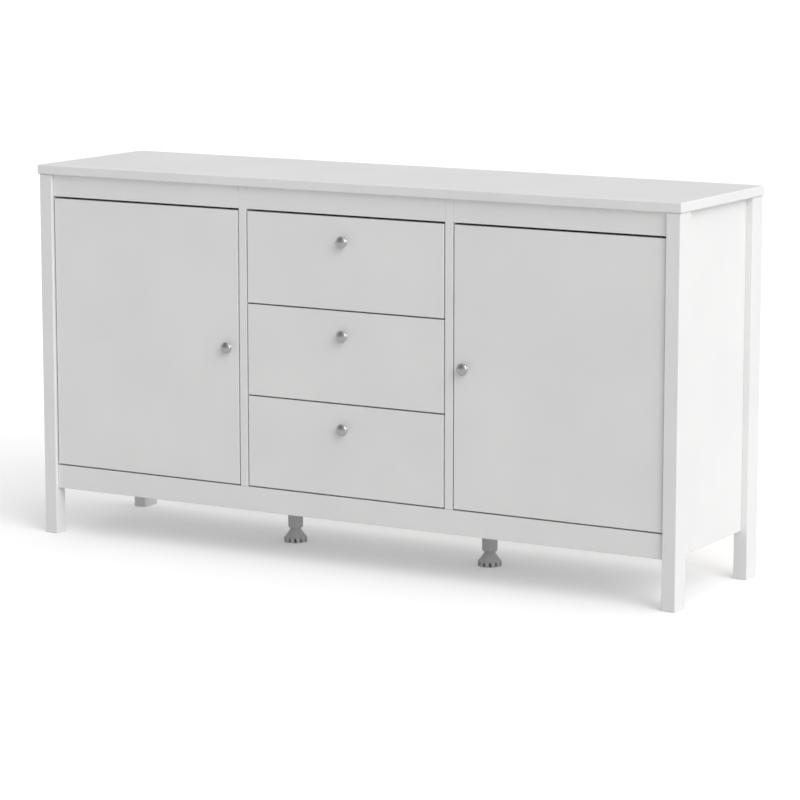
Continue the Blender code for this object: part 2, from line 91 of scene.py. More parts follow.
class Finish:
    """A Principled material, with short ways to add nodes and link them."""

    def __init__(self, name, **sockets):
        self.material = bpy.data.materials.new(name)
        self.material.use_nodes = True
        self.tree = self.material.node_tree
        self.shader = self.tree.nodes["Principled BSDF"]
        self.place = self.node("ShaderNodeTexCoord").outputs["Object"]
        for socket, value in sockets.items():
            self.set(socket.replace("_", " "), value)

    def node(self, kind, inputs=None, **settings):
        """Adds a node; inputs are values or sockets, by socket name or number."""
        made = self.tree.nodes.new(kind)
        for key, value in settings.items():
            setattr(made, key, value)
        for socket, value in (inputs or {}).items():
            self.feed(made.inputs[socket], value)
        return made

    def feed(self, socket, value):
        """Links a socket to an input, or sets the input's own value."""
        if isinstance(value, bpy.types.NodeSocket):
            self.tree.links.new(value, socket)
        else:
            socket.default_value = value

    def set(self, socket, value):
        """Feeds one of the shader's inputs; a 3-tuple is an opaque colour."""
        if isinstance(value, tuple) and len(value) == 3:
            value = (*value, 1.0)
        self.feed(self.shader.inputs[socket], value)

    def noise(self, scale, detail=2.0, rough=0.5, stretch=None):
        """Noise with its scale in cells per metre; stretch scales it along each axis."""
        where = self.place
        if stretch is not None:
            where = self.node("ShaderNodeMapping", {"Vector": where, "Scale": stretch}).outputs["Vector"]
        inputs = {"Vector": where, "Scale": scale, "Detail": detail, "Roughness": rough}
        return self.node("ShaderNodeTexNoise", inputs).outputs["Fac"]

    def between(self, value, low, high, start=0.0, end=1.0):
        """Maps value from low..high to start..end."""
        inputs = {"Value": value, "From Min": low, "From Max": high, "To Min": start, "To Max": end}
        return self.node("ShaderNodeMapRange", inputs).outputs["Result"]

    def mix(self, factor, first, second):
        """Colour mix; the two colours are 3-tuples or sockets."""
        made = self.node("ShaderNodeMix", data_type="RGBA")
        self.feed(made.inputs[0], factor)
        for index, colour in ((6, first), (7, second)):
            self.feed(made.inputs[index], (*colour, 1.0) if isinstance(colour, tuple) else colour)
        return made.outputs[2]

    def math(self, operation, first, second=0.0):
        """A Math node on two values or sockets."""
        made = self.node("ShaderNodeMath", operation=operation)
        self.feed(made.inputs[0], first)
        self.feed(made.inputs[1], second)
        return made.outputs[0]

    def clouds(self, scale):
        """Soft patches, 0 to 1, with their scale in cells per metre."""
        return self.between(self.noise(scale, 3.0), 0.35, 0.65)

    def uneven_gloss(self, wear, smooth, rough):
        """Roughness that wanders between two values with a noise."""
        self.set("Roughness", self.between(wear, 0.3, 0.7, smooth, rough))

    def bump(self, height, distance, strength=1.0):
        """Adds a bump on top of those that are already there; distance is in metres."""
        inputs = {"Height": height, "Distance": distance, "Strength": strength}
        previous = self.shader.inputs["Normal"].links
        if previous:
            inputs["Normal"] = previous[0].from_socket
        self.set("Normal", self.node("ShaderNodeBump", inputs).outputs["Normal"])

    def facing(self, axis):
        """How much the surface faces along one object axis, -1 to 1."""
        normal = self.node("ShaderNodeTexCoord").outputs["Normal"]
        parts = self.node("ShaderNodeSeparateXYZ", {"Vector": normal})
        return parts.outputs[axis]


FOIL_WHITE = (0.83, 0.83, 0.825)
FOIL_SHADE = (0.80, 0.80, 0.797)
BOX_WHITE = (0.80, 0.80, 0.79)
BOX_SHADE = (0.76, 0.76, 0.755)


def foil(name, light=FOIL_WHITE, shade=FOIL_SHADE):
    """White foil on board: faint clouding, and a fine pebbled surface that softens its gloss."""
    finish = Finish(name, Specular_IOR_Level=0.45)
    finish.set("Base Color", finish.mix(finish.clouds(5.0), shade, light))
    finish.uneven_gloss(finish.noise(40.0, 3.0), 0.36, 0.47)
    finish.bump(finish.noise(1400.0, 2.0), 0.00003, 0.35)
    finish.bump(finish.noise(220.0, 2.0), 0.00004, 0.25)
    return finish.material


LACQUER_SHADE = (0.77, 0.77, 0.765)
FIBRE_BROWN = (0.30, 0.19, 0.115)
FIBRE_DARK = (0.235, 0.14, 0.08)
FIBRE_PALE = (0.36, 0.245, 0.155)


def hardboard(name, axis, sign):
    """Thin fibreboard: white lacquer, with bare pressed fibre on the side that faces sign * axis."""
    finish = Finish(name, Specular_IOR_Level=0.35)
    fibres = finish.noise(420.0, 6.0, 0.7, (1.0, 1.0, 0.35))
    flecks = finish.between(finish.noise(290.0, 4.0, 0.6), 0.45, 0.8)
    brown = finish.mix(finish.between(fibres, 0.35, 0.65), FIBRE_DARK, FIBRE_BROWN)
    brown = finish.mix(flecks, brown, FIBRE_PALE)
    white = finish.mix(finish.clouds(6.0), LACQUER_SHADE, FOIL_WHITE)
    bare = finish.between(finish.math("MULTIPLY", finish.facing(axis), sign), 0.4, 0.6)
    finish.set("Base Color", finish.mix(bare, white, brown))
    finish.set("Roughness", finish.between(bare, 0.0, 1.0, 0.42, 0.72))
    finish.bump(finish.noise(900.0, 4.0, 0.6), 0.00006, 0.5)
    return finish.material


KNOB_GREY = (0.55, 0.55, 0.555)
STEEL_LIGHT = (0.70, 0.70, 0.705)
STEEL_SHADE = (0.64, 0.64, 0.65)


def turned_metal(name):
    """Dark satin metal with fine turning marks around the piece's own axis."""
    finish = Finish(name, Metallic=1.0, Base_Color=KNOB_GREY)
    parts = finish.node("ShaderNodeSeparateXYZ", {"Vector": finish.place})
    across = finish.node("ShaderNodeCombineXYZ", {"X": parts.outputs["X"], "Y": parts.outputs["Y"]})
    radius = finish.node("ShaderNodeVectorMath", {0: across.outputs[0]}, operation="LENGTH")
    rings = {"W": radius.outputs["Value"], "Scale": 9000.0, "Detail": 3.0}
    marks = finish.node("ShaderNodeTexNoise", rings, noise_dimensions="1D")
    finish.uneven_gloss(finish.noise(350.0, 4.0, 0.6), 0.26, 0.37)
    finish.bump(marks.outputs["Fac"], 0.00001, 0.5)
    return finish.material


def plated(name):
    """Nickel-plated pressed steel, a little uneven in its gloss."""
    finish = Finish(name, Metallic=1.0)
    finish.set("Base Color", finish.mix(finish.clouds(90.0), STEEL_SHADE, STEEL_LIGHT))
    finish.uneven_gloss(finish.noise(240.0, 3.0), 0.24, 0.34)
    finish.bump(finish.noise(600.0, 2.0), 0.000008, 0.3)
    return finish.material


FOOT_GREY = (0.58, 0.58, 0.58)
RUNNER_WHITE = (0.78, 0.78, 0.77)
PIN_GREY = (0.58, 0.59, 0.60)
PLASTIC_SHADE = 0.93


def moulded(name, colour, rough=0.5):
    """Moulded plastic with a fine grain and faint clouding."""
    finish = Finish(name, Specular_IOR_Level=0.4)
    shade = tuple(PLASTIC_SHADE * part for part in colour)
    finish.set("Base Color", finish.mix(finish.clouds(60.0), shade, colour))
    finish.uneven_gloss(finish.noise(300.0, 3.0), rough - 0.06, rough + 0.08)
    finish.bump(finish.noise(1500.0, 3.0), 0.00005, 0.5)
    return finish.material


FLOOR_WHITE = 0.98
FLOOR_BOUNCE = 0.55
FLOOR_GLOW = 0.14


def floor_finish():
    """Pale studio floor that glows a little and throws back less light than it shows."""
    finish = Finish("studio_floor", Specular_IOR_Level=0.0, Roughness=1.0)
    seen = finish.node("ShaderNodeLightPath").outputs["Is Camera Ray"]
    finish.set("Base Color", finish.mix(seen, (FLOOR_BOUNCE,) * 3, (FLOOR_WHITE,) * 3))
    finish.set("Emission Color", (1.0, 1.0, 1.0))
    finish.set("Emission Strength", FLOOR_GLOW)
    return finish.material


FOIL = foil("white_foil")
BOX_FOIL = foil("drawer_box_foil", BOX_WHITE, BOX_SHADE)
BACK_BOARD = hardboard("back_hardboard", "Y", 1.0)
BASE_BOARD = hardboard("drawer_base_hardboard", "Z", -1.0)
KNOB_METAL = turned_metal("dark_metal")
PLATED = plated("plated_steel")
GREY_PLASTIC = moulded("grey_plastic", FOOT_GREY)
WHITE_PLASTIC = moulded("white_plastic", RUNNER_WHITE, 0.42)
PIN_PLASTIC = moulded("pale_grey_plastic", PIN_GREY, 0.38)

SLOT_MATERIALS = {
    "white_foil": FOIL,
    "white_hardboard": BACK_BOARD,
    "dark_metal": KNOB_METAL,
    "plated_steel": PLATED,
    "grey_plastic": GREY_PLASTIC,
    "white_plastic": WHITE_PLASTIC,
    "clear_grey_plastic": PIN_PLASTIC,
}


FRAME_SHARP_ANGLE = 50.0


def dress_frame():
    """Every CAD node gets its slot's material and shading that keeps its flats flat and its edges round."""
    for part in frame["record"]["subparts"]:
        node = frame["nodes"][part["node"]]
        finish = SLOT_MATERIALS[part["material_slot"]]
        if part["node"].endswith("_drawer_bottom"):
            finish = BASE_BOARD
        if part["node"].endswith("_drawer_box"):
            finish = BOX_FOIL
        node.data.materials.clear()
        node.data.materials.append(finish)
        node.data.shade_smooth()
        node.data.set_sharp_from_angle(angle=math.radians(FRAME_SHARP_ANGLE))
        weighted = node.modifiers.new("flat_faces", "WEIGHTED_NORMAL")
        weighted.keep_sharp = True
        weighted.weight = 100


# ---------------------------------------------------------------- building tools


def new_piece(name, mesh, material, place=(0, 0, 0), turn=(0, 0, 0)):
    """Puts a mesh in the scene as an object."""
    piece = bpy.data.objects.new(name, mesh)
    piece.location = place
    piece.rotation_euler = turn
    bpy.context.scene.collection.objects.link(piece)
    mesh.materials.append(material)
    return piece


def finish_mesh(shape, name, smooth_angle=40.0):
    """Turns a bmesh into a mesh that is smooth up to an angle, and frees it."""
    bmesh.ops.recalc_face_normals(shape, faces=shape.faces)
    mesh = bpy.data.meshes.new(name)
    shape.to_mesh(mesh)
    shape.free()
    mesh.shade_smooth()
    mesh.set_sharp_from_angle(angle=math.radians(smooth_angle))
    return mesh


def install(piece, body, replaced=None):
    """The piece rides on a body, and may stand for a CAD node, which it hides."""
    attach(piece, body)
    if replaced:
        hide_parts(replaced)


def arc(centre, radius, start, end, steps):
    """Points along an arc, angles in degrees."""
    points = []
    for i in range(steps + 1):
        angle = math.radians(start + (end - start) * i / steps)
        points.append((centre[0] + radius * math.cos(angle), centre[1] + radius * math.sin(angle)))
    return points


def smooth_through(points, steps):
    """A Catmull-Rom curve through 2D points."""
    spread = [points[0]] + list(points) + [points[-1]]
    curve = []
    for before, start, end, after in zip(spread, spread[1:], spread[2:], spread[3:]):
        for i in range(steps):
            t = i / steps
            weights = [-t + 2 * t**2 - t**3, 2 - 5 * t**2 + 3 * t**3]
            weights += [t + 4 * t**2 - 3 * t**3, t**3 - t**2]
            corners = (before, start, end, after)
            point = [sum(w * c[axis] for w, c in zip(weights, corners)) / 2 for axis in (0, 1)]
            curve.append(tuple(point))
    return curve + [points[-1]]


def revolve_into(shape, profile, steps, reshape=None, matrix=None):
    """Adds a body turned about Z from (radius, height) points; reshape may move a point's radius."""
    rings = []
    for radius, height in profile:
        if radius == 0.0:
            rings.append([shape.verts.new((0.0, 0.0, height))])
            continue
        ring = []
        for i in range(steps):
            angle = math.tau * i / steps
            r = reshape(radius, height, angle) if reshape else radius
            ring.append(shape.verts.new((r * math.cos(angle), r * math.sin(angle), height)))
        rings.append(ring)
    for first, second in zip(rings, rings[1:]):
        for i in range(steps):
            j = i + 1
            corners = [first[i % len(first)], first[j % len(first)]]
            corners += [second[j % len(second)], second[i % len(second)]]
            corners = list(dict.fromkeys(corners))
            if len(corners) > 2:
                shape.faces.new(corners)
    if matrix is not None:
        bmesh.ops.transform(shape, matrix=matrix, verts=[vert for ring in rings for vert in ring])


def turned(name, profile, steps, reshape=None, smooth_angle=40.0):
    """A mesh turned about Z from a profile."""
    shape = bmesh.new()
    revolve_into(shape, profile, steps, reshape)
    return finish_mesh(shape, name, smooth_angle)


def loft_into(shape, sections):
    """Adds a closed body through sections, each a list of as many 3D points."""
    rows = [[shape.verts.new(point) for point in section] for section in sections]
    count = len(rows[0])
    for first, second in zip(rows, rows[1:]):
        for i in range(count):
            j = (i + 1) % count
            shape.faces.new((first[i], first[j], second[j], second[i]))
    shape.faces.new(rows[0])
    shape.faces.new(rows[-1][::-1])


def rounded_outline(width, height, radius, steps=5):
    """Outline of a rectangle with round corners, centred on the origin."""
    points = []
    for sx, sy, start in ((1, 1, 0), (-1, 1, 90), (-1, -1, 180), (1, -1, 270)):
        centre = (sx * (width / 2 - radius), sy * (height / 2 - radius))
        points += arc(centre, radius, start, start + 90, steps)
    return points


def slab_into(shape, outline, low, high, place, edge=0.0003):
    """Adds a plate with softened edges; outline is (x, y), and place turns (x, y, level) into 3D."""
    middle = Vector((sum(x for x, _ in outline), sum(y for _, y in outline))) / len(outline)
    sections = []
    for inset, level in ((edge, low), (0.0, low + edge), (0.0, high - edge), (edge, high)):
        section = []
        for x, y in outline:
            away = Vector((x, y)) - middle
            pulled = away - away.normalized() * inset
            section.append(place(middle.x + pulled.x, middle.y + pulled.y, level))
        sections.append(section)
    loft_into(shape, sections)


def towards(place, outward, turn=0.0):
    """A matrix that puts local Z along outward at place."""
    facing = Vector(outward).to_track_quat("Z", "Y").to_matrix().to_4x4()
    return Matrix.Translation(place) @ facing @ Matrix.Rotation(turn, 4, "Z")


def cross_outline(reach, width):
    """The (x, y) corners of a cross, from the reach and width of its arms."""
    half = width / 2
    quarter = [(reach, half), (half, half), (half, reach)]
    back = quarter[::-1]
    outline = quarter + [(-x, y) for x, y in back]
    outline += [(-x, -y) for x, y in quarter]
    return outline + [(x, -y) for x, y in back]


# A screw head in shares of its radius and height: the dome's rings as (radius, level), and the
# top and floor of its cross recess as (reach, width, level).
HEAD_STEPS = 24
HEAD_RINGS = ((0.70, 0.93), (0.88, 0.80), (1.0, 0.45), (1.0, 0.0))
RECESS_TOP = (0.60, 0.32, 0.93)
RECESS_FLOOR = (0.45, 0.20, 0.25)


def screw_into(shape, place, outward, radius, height, turn=0.3):
    """Adds a low domed screw head with a cross recess, standing on place."""
    steps = HEAD_STEPS
    around = [(math.cos(math.tau * i / steps), math.sin(math.tau * i / steps)) for i in range(steps)]
    rings = []
    for share, level in HEAD_RINGS:
        r = share * radius
        rings.append([shape.verts.new((r * x, r * y, level * height)) for x, y in around])
    for first, second in zip(rings, rings[1:]):
        for i in range(steps):
            j = (i + 1) % steps
            shape.faces.new((first[i], first[j], second[j], second[i]))
    shape.faces.new(rings[-1])
    crosses = []
    for reach, width, level in (RECESS_TOP, RECESS_FLOOR):
        outline = cross_outline(reach * radius, width * radius)
        crosses.append([shape.verts.new((x, y, level * height)) for x, y in outline])
    lip, base = crosses
    shape.faces.new(base)
    count = len(lip)
    for i in range(count):
        j = (i + 1) % count
        shape.faces.new((lip[i], lip[j], base[j], base[i]))
    edges = [shape.edges.get((lip[i], lip[(i + 1) % count])) for i in range(count)]
    edges += [shape.edges.get((rings[0][i], rings[0][(i + 1) % steps])) for i in range(steps)]
    bmesh.ops.triangle_fill(shape, use_beauty=True, use_dissolve=False, edges=edges)
    made = lip + base + [vert for ring in rings for vert in ring]
    bmesh.ops.transform(shape, matrix=towards(place, outward, turn), verts=made)


# ---------------------------------------------------------------- knobs

KNOB_DOME = 0.020
KNOB_RIM = 0.0032
KNOB_RIM_END = -64
KNOB_FOOT = 0.62
# The neck in shares of the head's radius: the undercut as (share, depth below the rim), then the
# waist as (share, height).
KNOB_UNDERCUT = (0.66, 0.0016)
KNOB_WAIST = ((0.55, 0.0045), (0.56, 0.0020), (KNOB_FOOT, 0.0008))
KNOB_STEPS = 72
KNOB_SCREW = (0.0040, 0.0022)


def knob_profile(radius, reach):
    """A thick domed head on a short waisted neck; height 0 is the face that it is screwed to."""
    rim_centre = radius - KNOB_RIM
    rise = math.sqrt((KNOB_DOME - KNOB_RIM) ** 2 - rim_centre**2)
    meeting = math.degrees(math.atan2(rise, rim_centre))
    rim_height = reach - KNOB_DOME + rise
    profile = [(0.0, reach)]
    profile += arc((0.0, reach - KNOB_DOME), KNOB_DOME, 90, meeting, 12)[1:]
    profile += arc((rim_centre, rim_height), KNOB_RIM, meeting, KNOB_RIM_END, 12)[1:]
    below = profile[-1]
    share, depth = KNOB_UNDERCUT
    neck = [below, (radius * share, below[1] - depth)]
    neck += [(radius * share, height) for share, height in KNOB_WAIST]
    profile += smooth_through(neck, 5)[1:]
    return profile + [(radius * KNOB_FOOT, TOUCH), (0.0, TOUCH)]


def make_knobs():
    """A turned knob on each front, and the head of its screw on the front's back."""
    low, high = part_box("left_door_knob")
    profile = knob_profile((high.x - low.x) / 2, FRONT_FACE - low.y)
    owners = [(side + "_door_knob", side + "_door_leaf") for side, _ in SIDES]
    owners += [(place + "_drawer_knob", place + "_drawer") for place in DRAWERS]
    for node, body in owners:
        centre = middle_of(node)
        mesh = turned("turned_" + node, profile, KNOB_STEPS)
        place = (centre.x, FRONT_FACE, centre.z)
        piece = new_piece("turned_" + node, mesh, KNOB_METAL, place, (math.pi / 2, 0, 0))
        install(piece, body, node)
        screw = bmesh.new()
        screw_into(screw, (0, 0, 0), (0, 1, 0), *KNOB_SCREW)
        mesh = finish_mesh(screw, node + "_screw")
        head = new_piece(node + "_screw", mesh, PLATED, (centre.x, FRONT_BACK, centre.z))
        install(head, body)


# ---------------------------------------------------------------- support feet

STEM_RADIUS = 0.0118
STEM_CHAMFER = 0.0012
# The chamfer ends this far inside the stem's radius, where the thread doesn't cut.
STEM_UNCUT = 0.0002
THREAD_PITCH = 0.0030
THREAD_DEPTH = 0.0007
THREAD_TOP = 0.052
THREAD_BOTTOM = 0.030
THREAD_STEPS = 6
THREAD_RUNOUT = 0.002
NOTCHES = 12
NOTCH_HALF_WIDTH = 0.0031
NOTCH_DEPTH = 0.0125
NOTCH_LOW = 0.0012
NOTCH_HIGH = 0.0102
NOTCH_START_RADIUS = 0.018
BELL = ((0.0118, 0.0275), (0.0121, 0.0262), (0.0138, 0.0236), (0.0170, 0.0190))
BELL += ((0.0207, 0.0140), (0.0238, 0.0103), (0.0250, 0.0082))
RIM_LEVELS = (0.0075, 0.0065, 0.0052, 0.0038, 0.0026, 0.0017, 0.00122, 0.00118)
SOLE_CHAMFER = 0.0006
FOOT_STEPS = 240
SLEEVE_RADIUS = 0.0160
SLEEVE_PLAY = 0.0005
SLEEVE_EDGE = 0.0006
SLEEVE_NOSE = 0.0045
SLEEVE_STEPS = 96
FLANGE_SHEET = 0.0040
FLANGE_EDGE = 0.0010
FLANGE_CHAMFER = 0.0005
FLANGE_FILLET = 0.0030
SLEEVE_ROOF = 0.006
SLEEVE_SCREW = (0.0036, 0.0014)
SLEEVE_SCREWS = 4
SLEEVE_SCREW_SHIFT = 0.0008


def foot_radius(radius, height, angle):
    """Thread on the stem, and finger notches with round tops in the rim above the sole."""
    if height > BELL[0][1] + THREAD_RUNOUT and radius >= STEM_RADIUS:
        phase = (height / THREAD_PITCH - angle / math.tau) % 1.0
        return radius - THREAD_DEPTH * (1 - abs(2 * phase - 1))
    if radius < NOTCH_START_RADIUS or not NOTCH_LOW < height < NOTCH_HIGH:
        return radius
    up = (height - NOTCH_LOW) / (NOTCH_HIGH - NOTCH_LOW)
    half = NOTCH_HALF_WIDTH * math.sqrt(1 - up**2)
    pitch = math.tau / NOTCHES
    across = abs((angle + pitch / 2) % pitch - pitch / 2) * radius
    if across >= half:
        return radius
    return radius - NOTCH_DEPTH * math.sqrt(1 - (across / half) ** 2) * (1 - up**4)


def make_screw_feet():
    """A threaded stem on a bell-shaped base with a notched rim."""
    for side, _ in SIDES:
        node = side + "_screw_foot"
        low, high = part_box(node)
        centre = (low + high) / 2
        rim = (high.x - low.x) / 2
        top = high.z - FLOOR
        profile = [(0.0, top), (STEM_RADIUS - STEM_CHAMFER, top)]
        profile += [(STEM_RADIUS - STEM_UNCUT, top - STEM_CHAMFER)]
        step = THREAD_PITCH / THREAD_STEPS
        steps = round((THREAD_TOP - THREAD_BOTTOM) / step)
        profile += [(STEM_RADIUS, THREAD_TOP - i * step) for i in range(steps + 1)]
        profile += smooth_through(BELL, 4)
        profile += [(rim, level) for level in RIM_LEVELS]
        profile += [(rim, SOLE_CHAMFER), (rim - SOLE_CHAMFER, 0.0), (0.0, 0.0)]
        mesh = turned("moulded_" + node, profile, FOOT_STEPS, foot_radius, 35.0)
        piece = new_piece("moulded_" + node, mesh, GREY_PLASTIC, (centre.x, centre.y, FLOOR))
        install(piece, side + "_foot", node)


def make_sleeves():
    """A fixed tube with a round nose and a flange, screwed under the bottom panel."""
    for side, _ in SIDES:
        node = side + "_foot_sleeve"
        low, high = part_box(node)
        centre = (low + high) / 2
        flange = (high.x - low.x) / 2
        top, bottom = high.z, low.z
        bore = STEM_RADIUS + SLEEVE_PLAY
        roof = top - SLEEVE_ROOF
        profile = [(0.0, top), (flange - FLANGE_CHAMFER, top), (flange, top - FLANGE_CHAMFER)]
        profile += arc((flange - FLANGE_EDGE, top - FLANGE_SHEET + FLANGE_EDGE), FLANGE_EDGE, 0, -90, 4)
        fillet = (SLEEVE_RADIUS + FLANGE_FILLET, top - FLANGE_SHEET - FLANGE_FILLET)
        profile += arc(fillet, FLANGE_FILLET, 90, 180, 6)
        profile += arc((SLEEVE_RADIUS - SLEEVE_NOSE, bottom + SLEEVE_NOSE), SLEEVE_NOSE, 0, -58, 8)
        profile += [(bore + SLEEVE_EDGE, bottom), (bore, bottom + SLEEVE_EDGE), (bore, roof), (0.0, roof)]
        shape = bmesh.new()
        revolve_into(shape, profile, SLEEVE_STEPS)
        place = (centre.x, centre.y, 0.0)
        piece = new_piece("moulded_" + node, finish_mesh(shape, node), GREY_PLASTIC, place)
        install(piece, "carcass", node)
        reach = (flange + SLEEVE_RADIUS) / 2 + SLEEVE_SCREW_SHIFT
        make_sleeve_screws(side, place, reach, top - FLANGE_SHEET)


def make_sleeve_screws(side, place, reach, level):
    """A ring of screw heads on the flange's underside."""
    shape = bmesh.new()
    for i in range(SLEEVE_SCREWS):
        angle = math.tau * (i + 0.5) / SLEEVE_SCREWS
        where = (reach * math.cos(angle), reach * math.sin(angle), level)
        screw_into(shape, where, (0, 0, -1), *SLEEVE_SCREW, angle)
    name = side + "_sleeve_screws"
    install(new_piece(name, finish_mesh(shape, name), PLATED, place), "carcass")


# ---------------------------------------------------------------- concealed hinges

CUP_RADIUS = 0.0175
CUP_DEPTH = 0.0117
CUP_WALL = 0.0010
CUP_CORNER = 0.0030
CUP_LIP = 0.0015
CUP_EDGE = 0.0005
CUP_FLANGE = 0.0032
CUP_STEPS = 72
EAR_REACH = 0.029
EAR_WIDTH = 0.0125
EAR_OFFSET = 0.0035
EAR_OVERLAP = 0.0040
EAR_CORNER = 0.0045
EAR_TOP = CUP_LIP - 0.0002
EAR_SCREW = (0.0040, 0.0012)
EAR_SCREW_LEVEL = CUP_LIP - 0.0003
EAR_SCREW_INSET = 0.0062
ARM_HALF_WIDTH = 0.0060
ARM_SHEET = 0.0022
ARM_CORNER = 0.0006
CRANK = ((0.0015, 0.0), (-0.011, 0.0), (-0.013, 0.002), (-0.013, 0.021))
CRANK += ((-0.010, 0.0245), (0.0052, 0.030), (0.0084, 0.0335), (0.0084, 0.0400))
CHANNEL_START = 0.0335
CHANNEL_END = 0.0740
CHANNEL_HALF = 0.0072
CHANNEL_SHEET = 0.0012
CHANNEL_WEB = 0.0085
CHANNEL_RIM = 0.0024
# Along the channel, as (y, how far its sides are drawn in).
CHANNEL_STATIONS = ((CHANNEL_START, 0.0012), (CHANNEL_START + 0.002, 0.0))
CHANNEL_STATIONS += ((CHANNEL_END - 0.002, 0.0), (CHANNEL_END, 0.0010))
PLATE_MIDDLE = 0.0590
PLATE_SHEET = 0.0018
PLATE_SHIFT = 0.001
PLATE_BLOCK = (0.030, 0.0104, 0.0020)
PLATE_BLOCK_RISE = 0.0068
PLATE_BLOCK_BASE = 0.0004
PLATE_WINGS = (0.0180, 0.0480, 0.0050)
PLATE_SCREW = (0.0044, 0.0016)
PLATE_SCREW_REACH = 0.0160
# Along the channel: the side screw near the crank and the larger depth screw, as (y, radius).
CHANNEL_SCREWS = ((CHANNEL_START + 0.0085, 0.0030), (PLATE_MIDDLE + 0.0035, 0.0040))
CHANNEL_SCREW_HEIGHT = 0.0012


def cup_profile():
    """An open cup with a rolled flange; height 0 is the back of the door."""
    inner = CUP_RADIUS - CUP_WALL
    outer = CUP_RADIUS + CUP_FLANGE
    floor = CUP_WALL - CUP_DEPTH
    profile = [(0.0, floor)]
    profile += arc((inner - CUP_CORNER, floor + CUP_CORNER), CUP_CORNER, -90, 0, 6)
    profile += arc((inner + CUP_EDGE, CUP_LIP - CUP_EDGE), CUP_EDGE, 180, 90, 3)
    profile += arc((outer - CUP_EDGE, CUP_LIP - CUP_EDGE), CUP_EDGE, 90, 0, 3)
    profile += [(outer, TOUCH), (CUP_RADIUS, TOUCH), (CUP_RADIUS, -CUP_DEPTH), (0.0, -CUP_DEPTH)]
    return profile


def ear_outline(sign, half):
    """One mounting ear: from the cup's rim to a rounded end, (x, z) with z along half."""
    outline = []
    start = CUP_RADIUS - EAR_OVERLAP
    for x, z in rounded_outline(EAR_WIDTH, EAR_REACH - start, EAR_CORNER):
        outline.append((x - sign * EAR_OFFSET, half * (z + (EAR_REACH + start) / 2)))
    return outline


def make_cups():
    """The cups in the doors, each with two ears and their screws."""
    for side, sign in SIDES:
        for level in LEVELS:
            node = side + "_" + level + "_hinge_cup"
            centre = middle_of(node)
            shape = bmesh.new()
            revolve_into(shape, cup_profile(), CUP_STEPS, matrix=towards((0, 0, 0), (0, 1, 0)))
            for half in (-1, 1):
                ear = ear_outline(sign, half)
                slab_into(shape, ear, TOUCH, EAR_TOP, lambda x, z, y: (x, y, z))
                where = (-sign * EAR_OFFSET, EAR_SCREW_LEVEL, half * (EAR_REACH - EAR_SCREW_INSET))
                screw_into(shape, where, (0, 1, 0), *EAR_SCREW, 0.4 * half)
            place = (centre.x, FRONT_BACK, centre.z)
            piece = new_piece("pressed_" + node, finish_mesh(shape, node), PLATED, place)
            install(piece, side + "_door_leaf", node)


def crank_sections(sign):
    """Rounded strip sections along the crank; the path is (x, y) from the pivot."""
    path = smooth_through(CRANK, 5)
    sections = []
    outline = rounded_outline(ARM_SHEET, 2 * ARM_HALF_WIDTH, ARM_CORNER, 2)
    for i, point in enumerate(path):
        before = Vector(path[max(i - 1, 0)])
        after = Vector(path[min(i + 1, len(path) - 1)])
        along = (after - before).normalized()
        across = Vector((along.y, -along.x))
        section = []
        for u, z in outline:
            spot = Vector(point) + across * u
            section.append((sign * spot.x, spot.y, z))
        sections.append(section)
    return sections


def channel_outline(high, low, half, wall):
    """A U section with cut corners, open towards the side panel; (x, z)."""
    outer = [(low, -half), (high + wall, -half), (high, -half + wall), (high, half - wall)]
    outer += [(high + wall, half), (low, half)]
    inner = [(low, half - wall), (high + wall, half - wall), (high + wall, wall - half), (low, wall - half)]
    return outer + inner


def make_arms():
    """The hinge arms: a crank from the pivot, a channel, and the plate on the side panel."""
    for side, sign in SIDES:
        pivot = joint_place(side + "_door_hinge")
        for level in LEVELS:
            node = side + "_" + level + "_hinge_arm"
            low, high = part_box(node)
            wall = max(abs(low.x), abs(high.x)) - abs(pivot.x)
            shape = bmesh.new()
            loft_into(shape, crank_sections(sign))
            add_channel(shape, sign, wall)
            add_plate(shape, sign, wall)
            place = (pivot.x, pivot.y, (low.z + high.z) / 2)
            piece = new_piece("pressed_" + node, finish_mesh(shape, node), PLATED, place)
            install(piece, "carcass", node)


def add_channel(shape, sign, wall):
    """The arm's channel with its side and depth screws."""
    web = wall - CHANNEL_WEB
    outline = channel_outline(web, wall - CHANNEL_RIM, CHANNEL_HALF, CHANNEL_SHEET)
    sections = []
    for y, inset in CHANNEL_STATIONS:
        scale = 1 - inset / CHANNEL_HALF
        sections.append([(sign * x, y, z * scale) for x, z in outline])
    loft_into(shape, sections)
    for y, radius in CHANNEL_SCREWS:
        screw_into(shape, (sign * web, y, 0.0), (-sign, 0, 0), radius, CHANNEL_SCREW_HEIGHT, y * 40)


def add_plate(shape, sign, wall):
    """The mounting plate: a block inside the channel and two wings screwed to the side panel."""
    block = rounded_outline(*PLATE_BLOCK, 3)
    wings = rounded_outline(*PLATE_WINGS, 5)
    centre = PLATE_MIDDLE + PLATE_SHIFT
    levels = (wall - PLATE_BLOCK_RISE, wall - PLATE_BLOCK_BASE)
    slab_into(shape, block, *levels, lambda y, z, x: (sign * x, y + PLATE_MIDDLE, z))
    slab_into(shape, wings, wall - PLATE_SHEET, wall, lambda y, z, x: (sign * x, y + centre, z))
    for half in (-1, 1):
        where = (sign * (wall - PLATE_SHEET), centre, half * PLATE_SCREW_REACH)
        screw_into(shape, where, (-sign, 0, 0), *PLATE_SCREW, 0.7 * half)


# ---------------------------------------------------------------- shelf pins and runners

